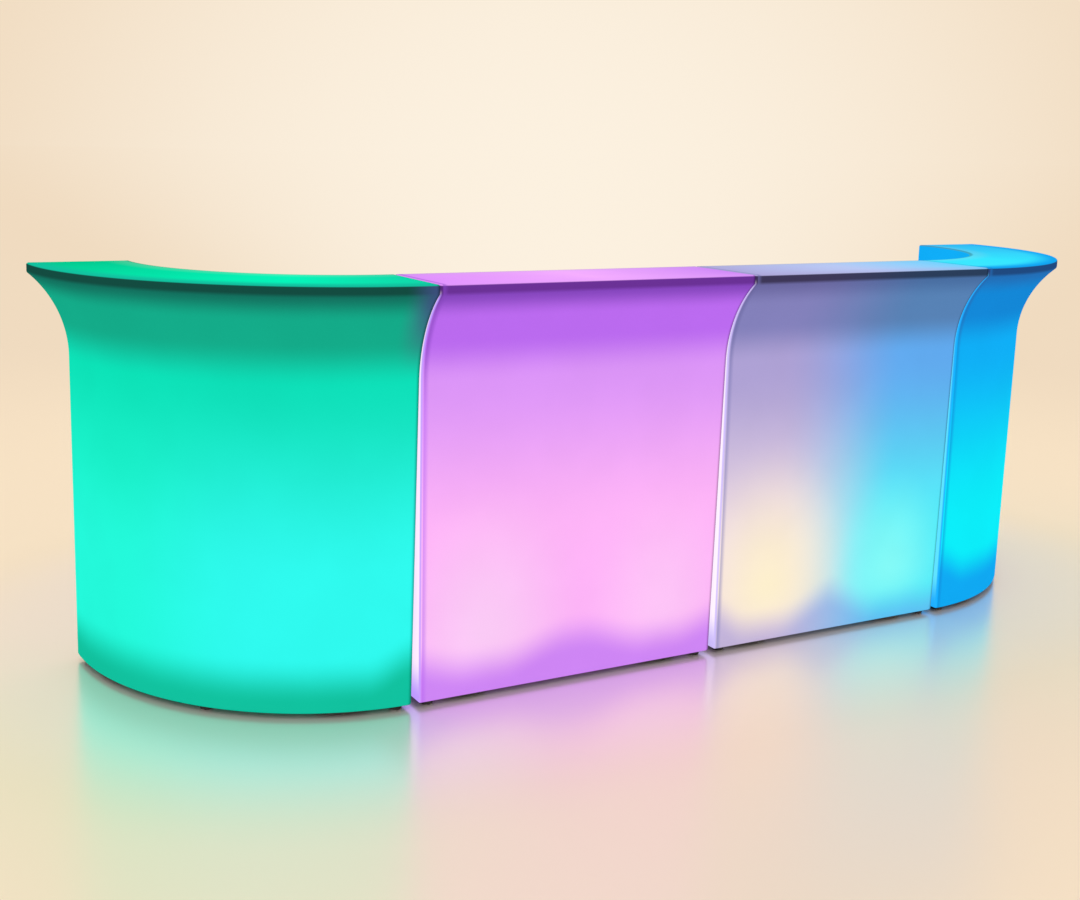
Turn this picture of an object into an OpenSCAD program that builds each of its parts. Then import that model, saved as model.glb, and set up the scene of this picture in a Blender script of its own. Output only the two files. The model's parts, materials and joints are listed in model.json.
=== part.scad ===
// Portable bar counter of four hollow, lit units that bolt together in a row:
// a quarter round end, two straight units and a second quarter round end.
// Millimetres. X runs along the front, the front faces -Y, Z is up.
// The origin is on the floor, in the middle of the counter's outline.

/* [Overall size] */
// Height of the counter top above the floor
bar_h = 1100; // [1000:5:1200]
// Width of the left straight unit
left_w = 937; // [800:1:1200]
// Width of the right straight unit
right_w = 868; // [800:1:1200]
// Depth of the counter top from its nose to its rear edge
top_d = 270; // [268:1:320]
// Radius of the end units' hollow rear face
inner_r = 540; // [500:5:700]

/* [Moulded front] */
// How far the nose stands out beyond the upright front wall
overhang = 102; // [70:1:104]
// Height of the flare, from the upright wall up to the counter top
flare_h = 250; // [200:5:300]
// Height of the counter top's nose
nose_h = 22; // [16:1:40]
// Rounding of the nose and of the top's rear edge
nose_r = 6; // [5.5:0.5:8]
// Rounding of the base's edges
base_r = 8; // [5.5:0.5:10]
// How far each end wall leans in from the top down to the base
end_draft = 11; // [2:0.5:14]
// Thickness of the moulded wall
wall = 5; // [3:0.5:5]

/* [Storage recess] */
// Depth of the upper recess in the rear face
recess_d = 120; // [100:1:125]
// Thickness of the hollow side cheeks beside the upper recess
cheek = 50; // [45:1:70]
// Width of the step that carries the shelf, on three sides
ledge = 12; // [8:1:16]
// Height of the recess floor
plinth_h = 190; // [160:5:210]
// Height of the shelf's underside
shelf_z = 600; // [500:10:700]
// Thickness of the hollow counter top over the recess
top_t = 60; // [45:1:90]
// Thickness of the shelf board
shelf_t = 10; // [6:1:16]
// Height of the rail along the shelf's open edge
shelf_lip = 12; // [6:1:20]
// Clearance between the shelf and the recess
shelf_gap = 0.8; // [0.5:0.1:0.9]

/* [Feet] */
// Height of the rubber feet
foot_h = 12; // [12:1:20]
// Radius of the rubber feet
foot_r = 16; // [13:0.5:17]
// Distance from the base's edges to the middle of a foot
foot_edge = 28; // [26:1:34]
// Distance from a unit's end to the middle of a foot
foot_inset = 44; // [38:1:60]

/* [Lamp units] */
// Distance from a unit's end to the middle of its lamp
lamp_inset = 165; // [140:1:220]
// Radius of the lamp ports in the base
port_r = 60; // [58:0.5:60]
// Width of the flange that covers the port's rim
lamp_flange = 14; // [12:0.5:14]
// Thickness of the lamp plate
lamp_plate_t = 4; // [3:0.5:4.5]
// Thickness of the rubber seal
seal_t = 1.5; // [1:0.25:2]
// Height of the diffuser dome above the lamp plate
dome_h = 84; // [70:1:110]
// Wall of the diffuser dome
dome_wall = 2.5; // [1.5:0.5:3]
// Height of the board above the lamp plate
board_z = 30; // [27:1:40]
// Length, width and height of the battery pack
battery = [76, 46, 22];
// Number of light emitting diodes on each board
led_count = 12; // [6:1:16]

/* [Control plate] */
// Width of the control plate
plate_w = 84; // [80:1:90]
// Height of the control plate
plate_h = 56; // [50:1:64]
// Thickness of the control plate
plate_t = 3; // [2:0.5:4]
// Height of the plate's middle above the recess floor
plate_up = 72; // [60:1:90]
// Distance from the plate's middle to the button and to the socket
control_x = 19; // [17:0.5:20]
// Radius of the push button
button_r = 7.75; // [6:0.25:8.5]
// How far the button travels
button_travel = 2.5; // [1.5:0.5:3]
// Clearance round the button
button_gap = 0.3; // [0.2:0.05:0.4]
// Radius of the charging socket's opening
socket_r = 4.2; // [3.5:0.1:4.8]
// Radius of the flap over the socket
flap_r = 9; // [8:0.5:9.5]

/* [Clamp bolts] */
// Radius of the clamp bolts
bolt_r = 5; // [4:0.5:6]
// Clearance round a bolt in the moulded sleeves
bolt_gap = 0.5; // [0.3:0.1:0.8]
// Radius of the moulded sleeves round the bolts
sleeve_r = 15; // [12:0.5:18]
// How far a sleeve stands into the recess
sleeve_out = 2; // [1:0.5:4]
// Distance from the rear face to the bolts
bolt_back = 58; // [50:1:60]
// Distance from the counter top down to the upper bolts
bolt_drop = 140; // [120:5:200]
// Height of the lower bolts
bolt_low = 430; // [400:5:480]
// Thickness of the hand knobs
knob_t = 22; // [16:1:26]
// Radius of the hand knobs over their lobes
knob_r = 25; // [20:1:28]
// Number of lobes on a knob
knob_lobes = 6; // [4:1:8]

/* [Hidden] */
UNITS = ["left_end", "left_straight", "right_straight", "right_end"];
PIECES = ["shell", "shelf", "feet", "lamp_plates", "lamp_seals", "battery_packs", "led_boards",
    "lamp_domes", "control_plate", "power_button", "charge_socket", "charge_flap"];
JOINTS = ["left_joint", "middle_joint", "right_joint"];
LEVELS = ["lower", "upper"];
$fn = 64;

glow = ["mediumspringgreen", "orchid", "lavender", "deepskyblue"];
outer_r = inner_r + top_d;
half_l = (left_w + right_w) / 2;
base_d = top_d - overhang;
lamp_y = overhang + base_d / 2;
arc_steps = 14;
edge_steps = 4;
over = 10;

// Heights at which the flare starts and meets the nose, and the flare's own arc
flare_z = bar_h - flare_h;
nose_z = bar_h - nose_h;
flare_r = (pow(overhang, 2) + pow(nose_z - flare_z, 2)) / (2 * overhang) - nose_r;
flare_a = acos(1 - overhang / (flare_r + nose_r));

// Screws
screw_r = 2;
screw_gap = 0.15;
screw_head_r = 3.8;
screw_head_h = 2.4;
foot_screw_r = 2.5;
foot_head_r = 6;
foot_head_h = 3.5;
foot_sink = 5;
lamp_screw_ring = port_r + lamp_flange / 2;

// Lamp unit
dome_r = port_r - 2;
dome_rise = 40;
post_r = 3.5;
post_ring = 48;
board_r = dome_r - dome_wall - 1.5;
board_t = 1.6;
led_size = 5;
led_t = 1.6;
lamp_top = foot_h - seal_t;

// Control plate
frame_w = 9;
barrel_l = 16;
barrel_wall = 2;
button_out = 3.5;
button_in = 8;
socket_wall = 2.8;
socket_flange = 1.8;
socket_rim = 1.5;
socket_l = 14;
socket_depth = 12;
flap_t = 2;
flap_gap = 0.3;
hinge_r = 2.2;
hinge_pin_r = 1.2;
hinge_fit = 0.05;
hinge_l = 8;
lug_l = 3;
lug_w = 4.8;
lug_gap = 0.3;
hinge_off = flap_r + 3;
hinge_up = hinge_r + 0.4;
plate_screw_in = 5;

// Clamp bolts
bolt_high = bar_h - bolt_drop;
head_r = bolt_r * 1.85;
head_h = bolt_r * 1.28;
knob_gap = 0.3;
knob_fit = 0.05;
knob_hub_t = 6;
lobe_r = 7;
bolt_end = 4;

// Wiring
wire_r = 2.2;
wire_in = 22;
wire_clip = 8;
wire_z = foot_h + wall + wire_clip / 2;
wire_gap = 0.3;

function unit_w(u) = u == 1 ? left_w : right_w;
function is_end(u) = u == 0 || u == 3;
function level_z(v) = v == 0 ? bolt_low : bolt_high;
function cheek_at(v) = v == 0 ? cheek + ledge : cheek;
function joint_x(j) = j == 0 ? -half_l : j == 1 ? left_w - half_l : half_l;
function lean_at(z) = end_draft * (bar_h - z) / (bar_h - foot_h);

// Points on an arc round c, from angle a to angle b
function arc(c, r, a, b, n) = [for (i = [0:n]) let (t = a + (b - a) * i / n) c + r * [cos(t), sin(t)]];

// Outline of a unit's section as [distance from the nose, height], drawn in by inset
function outline(inset) = concat(
    arc([top_d - base_r, foot_h + base_r], base_r - inset, 0, -90, edge_steps),
    arc([overhang + base_r, foot_h + base_r], base_r - inset, 270, 180, edge_steps),
    arc([overhang - flare_r, flare_z], flare_r + inset, 0, flare_a, arc_steps),
    arc([nose_r, nose_z], nose_r - inset, 180 + flare_a, 180, edge_steps),
    arc([nose_r, bar_h - nose_r], nose_r - inset, 180, 90, edge_steps),
    arc([top_d - nose_r, bar_h - nose_r], nose_r - inset, 90, 0, edge_steps));

// Positions along a unit, as [x, y] in the unit's own frame, for points that lie
// a given distance in from each end and a given distance behind the nose
function end_points(u, inset, depth) = is_end(u)
    ? let (r = outer_r - depth, a = asin(inset / r))
        [[r * sin(a), -r * cos(a)], [r * cos(a), -r * sin(a)]]
    : [[inset, depth], [unit_w(u) - inset, depth]];
function middle_point(depth) = (outer_r - depth) * [cos(45), -sin(45)];
function lamp_points(u) = end_points(u, lamp_inset, lamp_y);
function foot_points(u) = let (front = overhang + foot_edge, back = top_d - foot_edge) concat(
    end_points(u, foot_inset, front), end_points(u, foot_inset, back),
    is_end(u) ? [middle_point(front), middle_point(back)] : []);

// A straight unit's frame starts at its left end, on the nose line. An end unit's
// frame is on the axis of its curve, with the joint at x = 0 and the free end at y = 0
module place(u) {
    if (u == 0) translate([-half_l, outer_r / 2, 0]) mirror([1, 0, 0]) children();
    if (u == 1 || u == 2) translate([joint_x(u - 1), -outer_r / 2, 0]) children();
    if (u == 3) translate([half_l, outer_r / 2, 0]) children();
}

// Everything on the inner side of an end wall that leans in towards the base
module lean_side(inset, far) {
    rotate([90, 0, 0]) linear_extrude(4 * outer_r, center = true)
        polygon([[inset + lean_at(0), 0], [far, 0], [far, bar_h + over],
            [inset + lean_at(bar_h + over), bar_h + over]]);
}

// The body of a unit without its recess, with every face drawn in by inset
module block(u, inset) {
    if (is_end(u)) {
        intersection() {
            rotate([0, 0, -92]) rotate_extrude(angle = 94, $fn = 180)
                polygon([for (p = outline(inset)) [outer_r - p[0], p[1]]]);
            lean_side(inset, outer_r + over);
            rotate([0, 0, -90]) mirror([0, 1, 0]) lean_side(inset, outer_r + over);
        }
    } else {
        intersection() {
            translate([-over, 0, 0]) rotate([90, 0, 90]) linear_extrude(unit_w(u) + 2 * over)
                polygon(outline(inset));
            lean_side(inset, 2 * unit_w(u));
            translate([unit_w(u), 0, 0]) mirror([1, 0, 0]) lean_side(inset, 2 * unit_w(u));
        }
    }
}

// One level of the recess: side cheeks, depth from the rear face, and its heights
module recess_level(u, side, depth, low, high) {
    if (is_end(u)) {
        intersection() {
            rotate([0, 0, -92]) rotate_extrude(angle = 94, $fn = 180)
                translate([inner_r - over, low]) square([depth + over, high - low]);
            translate([side, -2 * outer_r, 0]) cube([2 * outer_r, 2 * outer_r - side, 2 * bar_h]);
        }
    } else {
        translate([side, top_d - depth, low])
            cube([unit_w(u) - 2 * side, depth + over, high - low]);
    }
}

// The whole recess, with every face moved out by grow
module recess(u, grow) {
    recess_level(u, cheek - grow, recess_d + grow, shelf_z - grow, bar_h - top_t + grow);
    recess_level(u, cheek + ledge - grow, recess_d - ledge + grow, plinth_h - grow, shelf_z + 1);
}

// A cylinder on each clamp bolt's line through a unit's end walls
module sleeves(u, r, start, reach) {
    for (v = [0, 1]) {
        l = cheek_at(v) + reach - start;
        if (is_end(u)) {
            translate([start, -inner_r - bolt_back, level_z(v)]) rotate([0, 90, 0]) cylinder(l, r, r);
            translate([inner_r + bolt_back, -start, level_z(v)]) rotate([90, 0, 0]) cylinder(l, r, r);
        } else {
            translate([start, top_d - bolt_back, level_z(v)]) rotate([0, 90, 0]) cylinder(l, r, r);
            translate([unit_w(u) - start, top_d - bolt_back, level_z(v)])
                rotate([0, -90, 0]) cylinder(l, r, r);
        }
    }
}

module shell(u) {
    color(glow[u]) difference() {
        union() {
            difference() {
                block(u, 0);
                difference() {
                    block(u, wall);
                    recess(u, wall);
                }
                recess(u, 0);
            }
            sleeves(u, sleeve_r, 0, sleeve_out);
        }
        sleeves(u, bolt_r + bolt_gap, -over, 2 * over);
        for (p = lamp_points(u)) translate([p[0], p[1], 0]) {
            cylinder(foot_h + wall + over, port_r, port_r);
            lamp_screw_places() cylinder(foot_h + wall + over, screw_r + screw_gap, screw_r + screw_gap);
        }
        for (p = foot_points(u)) translate([p[0], p[1], 0])
            cylinder(foot_h + wall + over, foot_screw_r + screw_gap, foot_screw_r + screw_gap);
        control_place(u) {
            translate([-wall - 1, -plate_w / 2 + frame_w, -plate_h / 2 + frame_w])
                cube([wall + 2, plate_w - 2 * frame_w, plate_h - 2 * frame_w]);
            plate_screw_places() translate([-wall - 1, 0, 0]) rotate([0, 90, 0])
                cylinder(wall + 2, screw_r + screw_gap, screw_r + screw_gap);
        }
    }
}

module shelf(u) {
    side = cheek + shelf_gap;
    depth = recess_d - shelf_gap;
    lip_w = 8;
    color("gainsboro") if (is_end(u)) {
        intersection() {
            rotate([0, 0, -92]) rotate_extrude(angle = 94, $fn = 180)
                translate([inner_r, shelf_z]) {
                    square([depth, shelf_t]);
                    square([lip_w, shelf_t + shelf_lip]);
                }
            translate([side, -2 * outer_r, 0]) cube([2 * outer_r, 2 * outer_r - side, 2 * bar_h]);
        }
    } else {
        translate([side, top_d - depth, shelf_z]) cube([unit_w(u) - 2 * side, depth, shelf_t]);
        translate([side, top_d - lip_w, shelf_z])
            cube([unit_w(u) - 2 * side, lip_w, shelf_t + shelf_lip]);
    }
}

module feet(u) {
    chamfer = 2;
    color("dimgray") for (p = foot_points(u)) translate([p[0], p[1], 0]) difference() {
        union() {
            cylinder(chamfer, foot_r - chamfer, foot_r);
            translate([0, 0, chamfer]) cylinder(foot_h - chamfer, foot_r, foot_r);
        }
        translate([0, 0, -1]) cylinder(foot_sink + 1, foot_head_r + 0.5, foot_head_r + 0.5);
        cylinder(foot_h + 1, foot_screw_r + screw_gap, foot_screw_r + screw_gap);
    }
}

module foot_screws() {
    color("silver") for (u = [0:3]) place(u) for (p = foot_points(u)) translate([p[0], p[1], foot_sink]) {
        translate([0, 0, -foot_head_h]) cylinder(foot_head_h, foot_head_r, foot_head_r);
        cylinder(foot_h + wall, foot_screw_r, foot_screw_r);
    }
}

module lamp_screw_places() {
    for (i = [0:2]) rotate([0, 0, 120 * i + 45]) translate([lamp_screw_ring, 0, 0]) children();
}

module post_places() {
    for (i = [0:2]) rotate([0, 0, 120 * i + 90]) translate([post_ring, 0, 0]) children();
}

module lamp_plates(u) {
    color("darkslategray") for (p = lamp_points(u)) translate([p[0], p[1], lamp_top]) {
        difference() {
            translate([0, 0, -lamp_plate_t])
                cylinder(lamp_plate_t, port_r + lamp_flange, port_r + lamp_flange);
            translate([0, 0, -lamp_plate_t - 1]) lamp_screw_places()
                cylinder(lamp_plate_t + 2, screw_r + screw_gap, screw_r + screw_gap);
        }
        post_places() cylinder(board_z, post_r, post_r);
    }
}

module lamp_seals(u) {
    color("black") for (p = lamp_points(u)) translate([p[0], p[1], lamp_top]) difference() {
        cylinder(seal_t, port_r + lamp_flange, port_r + lamp_flange);
        translate([0, 0, -1]) cylinder(seal_t + 2, port_r + 1, port_r + 1);
        translate([0, 0, -1]) lamp_screw_places()
            cylinder(seal_t + 2, screw_r + screw_gap, screw_r + screw_gap);
    }
}

module lamp_screws() {
    color("silver") for (u = [0:3]) place(u) for (p = lamp_points(u))
        translate([p[0], p[1], lamp_top - lamp_plate_t]) lamp_screw_places() {
            translate([0, 0, -screw_head_h]) cylinder(screw_head_h, screw_head_r, screw_head_r);
            cylinder(lamp_plate_t + seal_t + wall + 3, screw_r, screw_r);
        }
}

module battery_packs(u) {
    color("royalblue") for (p = lamp_points(u))
        translate([p[0] - battery[0] / 2, p[1] - battery[1] / 2, lamp_top]) cube(battery);
}

module led_boards(u) {
    color("white") for (p = lamp_points(u)) translate([p[0], p[1], lamp_top + board_z]) {
        cylinder(board_t, board_r, board_r);
        for (i = [0:led_count - 1]) rotate([0, 0, 360 * i / led_count])
            translate([board_r * 0.72, -led_size / 2, board_t]) cube([led_size, led_size, led_t]);
    }
}

// Half section of a dome of outer radius r and height h: a short skirt under a quarter ellipse
function dome_section(r, h) = concat([[0, 0], [r, 0]],
    [for (i = [0:10]) let (t = 9 * i) [r * cos(t), h - dome_rise + dome_rise * sin(t)]]);

module lamp_domes(u) {
    color("whitesmoke", 0.6) for (p = lamp_points(u)) translate([p[0], p[1], lamp_top])
        difference() {
            rotate_extrude() polygon(dome_section(dome_r, dome_h));
            translate([0, 0, -1]) rotate_extrude()
                polygon(dome_section(dome_r - dome_wall, dome_h - dome_wall + 1));
        }
}

// The control plate's middle, on the recess wall of the cheek at a unit's joint.
// x points out of the wall, y to the rear on a straight unit
module control_place(u) {
    y = is_end(u) ? -inner_r - (recess_d - ledge) / 2 : top_d - (recess_d - ledge) / 2;
    translate([cheek + ledge, y, plinth_h + plate_up]) children();
}

module plate_screw_places() {
    for (a = [-1, 1], b = [-1, 1])
        translate([0, a * (plate_w / 2 - plate_screw_in), b * (plate_h / 2 - plate_screw_in)]) children();
}

module control_plate(u) {
    barrel_r = button_r + button_gap;
    color("black") place(u) control_place(u) {
        difference() {
            union() {
                translate([0, -plate_w / 2, -plate_h / 2]) cube([plate_t, plate_w, plate_h]);
                translate([-barrel_l, -control_x, 0]) rotate([0, 90, 0])
                    cylinder(barrel_l + plate_t + 1, barrel_r + barrel_wall, barrel_r + barrel_wall);
            }
            translate([-barrel_l + barrel_wall, -control_x, 0]) rotate([0, 90, 0])
                cylinder(barrel_l + plate_t + 2, barrel_r, barrel_r);
            translate([-1, control_x, 0]) rotate([0, 90, 0])
                cylinder(plate_t + 2, socket_r + socket_wall + 0.1, socket_r + socket_wall + 0.1);
            plate_screw_places() translate([-1, 0, 0]) rotate([0, 90, 0])
                cylinder(plate_t + 2, screw_r + screw_gap, screw_r + screw_gap);
        }
        for (s = [-1, 1]) hinge_lug(s);
    }
}

// One of the two ears that hold the flap, above or below it
module hinge_lug(side) {
    translate([plate_t, control_x + hinge_off, 0]) difference() {
        translate([-0.5, -lug_w / 2, side > 0 ? hinge_l / 2 + lug_gap : -hinge_l / 2 - lug_gap - lug_l])
            cube([hinge_up + lug_w / 2 + 0.5, lug_w, lug_l]);
        translate([hinge_up, 0, -hinge_l])
            cylinder(2 * hinge_l, hinge_pin_r + hinge_fit, hinge_pin_r + hinge_fit);
    }
}

module plate_screws() {
    color("silver") for (u = [0:3]) place(u) control_place(u) plate_screw_places()
        translate([plate_t, 0, 0]) rotate([0, 90, 0]) {
            cylinder(screw_head_h, screw_head_r, screw_head_r);
            translate([0, 0, -plate_t - wall - 3]) cylinder(plate_t + wall + 3, screw_r, screw_r);
        }
}

module power_button(u) {
    color("firebrick") place(u) control_place(u) translate([-button_in, -control_x, 0])
        rotate([0, 90, 0]) {
            cylinder(button_in + plate_t + button_out - 1, button_r, button_r);
            cylinder(button_in + plate_t + button_out, button_r - 1, button_r - 1);
        }
}

module charge_socket(u) {
    r = socket_r + socket_wall;
    color("darkgray") place(u) control_place(u) translate([0, control_x, 0]) rotate([0, 90, 0])
        difference() {
            union() {
                translate([0, 0, plate_t - socket_l]) cylinder(socket_l, r, r);
                translate([0, 0, plate_t]) cylinder(socket_rim, r + socket_flange, r + socket_flange);
            }
            translate([0, 0, plate_t + socket_rim - socket_depth])
                cylinder(socket_depth + 1, socket_r, socket_r);
        }
}

module charge_flap(u) {
    base = plate_t + socket_rim + flap_gap;
    color("dimgray") place(u) control_place(u) {
        translate([base, control_x, 0]) rotate([0, 90, 0]) cylinder(flap_t, flap_r, flap_r);
        translate([base, control_x, -hinge_l / 2 + 0.5]) cube([flap_t, hinge_off, hinge_l - 1]);
        translate([plate_t + hinge_up, control_x + hinge_off, -hinge_l / 2])
            cylinder(hinge_l, hinge_r, hinge_r);
        translate([plate_t + hinge_up, control_x + hinge_off, -hinge_l / 2 - lug_gap - lug_l + 0.5])
            cylinder(hinge_l + 2 * (lug_gap + lug_l) - 1, hinge_pin_r, hinge_pin_r);
    }
}

// A clamp bolt's own frame: x along the row of units, with 0 where the two units meet
module bolt_place(j, v) {
    translate([joint_x(j), top_d - bolt_back - outer_r / 2, level_z(v)]) children();
}

module clamp_bolts() {
    color("silver") for (j = [0:2], v = [0, 1]) bolt_place(j, v) {
        seat = cheek_at(v) + sleeve_out;
        translate([-seat - head_h, 0, 0]) rotate([0, 90, 0]) cylinder(head_h, head_r, head_r, $fn = 6);
        translate([-seat, 0, 0]) rotate([0, 90, 0])
            cylinder(2 * seat + knob_gap + knob_t + bolt_end, bolt_r, bolt_r);
    }
}

module knob(j, v) {
    color("black") bolt_place(j, v) translate([cheek_at(v) + sleeve_out + knob_gap, 0, 0])
        rotate([0, 90, 0]) difference() {
            union() {
                cylinder(knob_t, sleeve_r - 3, sleeve_r - 3);
                translate([0, 0, knob_hub_t]) {
                    cylinder(knob_t - knob_hub_t, knob_r - lobe_r, knob_r - lobe_r);
                    for (i = [0:knob_lobes - 1]) rotate([0, 0, 360 * i / knob_lobes])
                        translate([knob_r - lobe_r, 0, 0]) cylinder(knob_t - knob_hub_t - 1, lobe_r, lobe_r);
                }
            }
            translate([0, 0, -1]) cylinder(knob_t + 2, bolt_r + knob_fit, bolt_r + knob_fit);
        }
}

// A straight run of wire between two points that differ along one axis only
module wire_run(a, b) {
    d = b - a;
    turn = d[0] != 0 ? [0, sign(d[0]) * 90, 0] : d[1] != 0 ? [-sign(d[1]) * 90, 0, 0] : [d[2] < 0 ? 180 : 0, 0, 0];
    translate(a) rotate(turn) cylinder(norm(d), wire_r, wire_r);
}

// A clip that holds the wire where it turns a corner
module wire_corner(p) {
    translate(p - wire_clip / 2 * [1, 1, 1]) cube(wire_clip);
}

// Leads from the socket down the hollow cheek to the first lamp, and on to the second
module wiring() {
    color("crimson") for (u = [0:3]) place(u) {
        y = is_end(u) ? -inner_r - (recess_d - ledge) / 2 + control_x
            : top_d - (recess_d - ledge) / 2 + control_x;
        x0 = cheek + ledge + plate_t - socket_l;
        x1 = x0 - wire_in + wire_clip / 2;
        z0 = plinth_h + plate_up;
        lamp = is_end(u) ? -(outer_r - lamp_y) : lamp_y;
        turn = is_end(u) ? -sqrt(pow(outer_r - lamp_y, 2) - pow(x1, 2)) : lamp_y;
        wire_run([x0 - wire_gap, y, z0], [x1, y, z0]);
        wire_corner([x1, y, z0]);
        wire_run([x1, y, z0], [x1, y, wire_z]);
        wire_corner([x1, y, wire_z]);
        wire_run([x1, y, wire_z], [x1, turn, wire_z]);
        wire_corner([x1, turn, wire_z]);
        reach = dome_r + wire_gap;
        if (is_end(u)) {
            r = outer_r - lamp_y;
            a0 = asin(x1 / r);
            a1 = asin(lamp_inset / r);
            da = 2 * asin(reach / 2 / r);
            wire_arc(r, a0, a1 - da);
            wire_arc(r, a1 + da, 90 - a1 - da);
        } else {
            wire_run([x1, lamp_y, wire_z], [lamp_inset - reach, lamp_y, wire_z]);
            wire_run([lamp_inset + reach, lamp_y, wire_z], [unit_w(u) - lamp_inset - reach, lamp_y, wire_z]);
        }
    }
}

// A run of wire along an end unit's curve, by angles from its joint
module wire_arc(r, from, to) {
    rotate([0, 0, from - 90]) rotate_extrude(angle = to - from, $fn = 96)
        translate([r, wire_z]) circle(wire_r, $fn = 24);
}

for (u = [0:3]) {
    place(u) shell(u);
    place(u) shelf(u);
    place(u) feet(u);
    place(u) lamp_plates(u);
    place(u) lamp_seals(u);
    place(u) battery_packs(u);
    place(u) led_boards(u);
    place(u) lamp_domes(u);
    control_plate(u);
    power_button(u);
    charge_socket(u);
    charge_flap(u);
}
for (j = [0:2], v = [0, 1])
    knob(j, v);
clamp_bolts();
lamp_screws();
plate_screws();
foot_screws();
wiring();
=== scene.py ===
import bpy
import bmesh
import json
import math
from mathutils import Matrix, Vector


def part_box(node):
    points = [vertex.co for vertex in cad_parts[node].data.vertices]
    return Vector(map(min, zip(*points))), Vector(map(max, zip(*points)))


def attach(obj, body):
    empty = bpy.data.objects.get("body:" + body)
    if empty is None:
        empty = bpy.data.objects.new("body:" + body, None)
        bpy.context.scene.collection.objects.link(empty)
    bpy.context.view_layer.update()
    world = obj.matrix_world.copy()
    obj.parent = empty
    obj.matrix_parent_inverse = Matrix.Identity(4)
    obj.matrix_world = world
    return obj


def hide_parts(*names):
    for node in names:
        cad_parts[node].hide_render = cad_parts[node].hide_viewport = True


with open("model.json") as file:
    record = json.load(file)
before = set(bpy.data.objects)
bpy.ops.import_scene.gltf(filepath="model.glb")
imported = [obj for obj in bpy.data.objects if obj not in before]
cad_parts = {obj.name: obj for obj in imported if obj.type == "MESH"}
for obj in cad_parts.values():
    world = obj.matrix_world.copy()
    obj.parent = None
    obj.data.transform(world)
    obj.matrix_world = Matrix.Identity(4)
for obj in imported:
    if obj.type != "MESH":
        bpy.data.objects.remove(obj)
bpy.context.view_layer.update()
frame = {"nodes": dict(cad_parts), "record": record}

# The counter: four moulded units lit from inside. Lengths are in metres, angles in degrees
units = ["left_end", "left_straight", "right_straight", "right_end"]
shellBox = {unit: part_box(unit + "_shell") for unit in units}

section = {
    "top": shellBox["left_straight"][1][2],      # height of the counter top
    "foot": shellBox["left_straight"][0][2],     # underside of the shells
    "nose": shellBox["left_straight"][0][1],     # y of the nose line
    "depth": shellBox["left_straight"][1][1] - shellBox["left_straight"][0][1],
    "overhang": 0.102,       # of the nose in front of the wall
    "flareZ": 0.850,         # where the wall starts to curve out
    "noseHeight": 0.022,
    "noseRound": 0.006,
    "baseRound": 0.008,
    "draft": 0.011,          # how far a unit's end leans in from the top to the base
    "flareSteps": 28,
    "roundSteps": 5,
    "curveSteps": 40,
}
recess = {
    "cheek": 0.050,          # from the unit's end to the recess
    "ledge": 0.012,          # carries the shelf: below it the recess is that much smaller
    "depth": 0.120,
    "floor": 0.190,
    "shelf": 0.600,
    "ceiling": section["top"] - 0.060,
}
rounding = {
    "width": 0.0055,         # of the shells' side and recess edges
    "steps": 4,
    "sharpest": 30,          # a bend sharper than this is rounded
    "smoothBelow": 35,       # a bend up to this is shaded smooth
}
near = {
    "cut": 1e-6,
    "merge": 1e-5,
    "plane": 1e-4,           # counts as lying in a plane
    "curve": 0.002,          # counts as lying on a curved wall
    "turn": 0.1,             # degrees
    "facing": 0.9,           # least part of a normal that points the wanted way
}
halfLength = -shellBox["left_straight"][0][0]
outerRadius = shellBox["right_end"][1][0] - halfLength
innerRadius = outerRadius - section["depth"]
curveY = section["nose"] + outerRadius


def facing(unit):
    # the way along the row from a unit's joint into the unit
    return -1 if unit == "left_end" else 1


# Working in edit mode

def deselectAll():
    if bpy.context.mode != "OBJECT":
        bpy.ops.object.mode_set(mode="OBJECT")
    bpy.ops.object.select_all(action="DESELECT")


def makeActive(piece):
    deselectAll()
    piece.select_set(True)
    bpy.context.view_layer.objects.active = piece


def startPiece(name):
    deselectAll()
    bpy.ops.object.add(type="MESH", location=(0, 0, 0))
    piece = bpy.context.object
    piece.name = name
    piece.data.name = name
    bpy.ops.object.mode_set(mode="EDIT")
    bpy.ops.mesh.select_mode(type="VERT")
    return piece


def pointOutwards():
    bpy.ops.mesh.select_all(action="SELECT")
    bpy.ops.mesh.normals_make_consistent(inside=False)


def smoothen():
    bpy.ops.object.shade_smooth_by_angle(angle=math.radians(rounding["smoothBelow"]))


def endPiece():
    bpy.ops.mesh.select_all(action="SELECT")
    bpy.ops.mesh.remove_doubles(threshold=near["merge"])
    pointOutwards()
    bpy.ops.object.mode_set(mode="OBJECT")
    smoothen()


def pickFaces(piece, wanted):
    bpy.ops.mesh.select_mode(type="FACE")
    bpy.ops.mesh.select_all(action="DESELECT")
    mesh = bmesh.from_edit_mesh(piece.data)
    for face in mesh.faces:
        face.select_set(wanted(face.calc_center_median(), face.normal))
    bmesh.update_edit_mesh(piece.data)


def pickVerts(piece, wanted):
    bpy.ops.mesh.select_mode(type="VERT")
    bpy.ops.mesh.select_all(action="DESELECT")
    mesh = bmesh.from_edit_mesh(piece.data)
    for vert in mesh.verts:
        vert.select_set(wanted(vert.co))
    mesh.select_flush(True)
    bmesh.update_edit_mesh(piece.data)


def extrude(step=(0, 0, 0)):
    bpy.ops.mesh.extrude_region_move(TRANSFORM_OT_translate={"value": step})


def cutThrough(point, normal, clearOuter=False):
    bpy.ops.mesh.select_mode(type="VERT")
    bpy.ops.mesh.select_all(action="SELECT")
    bpy.ops.mesh.bisect(plane_co=point, plane_no=Vector(normal).normalized(),
                        use_fill=clearOuter, clear_outer=clearOuter, threshold=near["cut"])


def applyModifiers(piece):
    makeActive(piece)
    for modifier in list(piece.modifiers):
        bpy.ops.object.modifier_apply(modifier=modifier.name)


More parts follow.
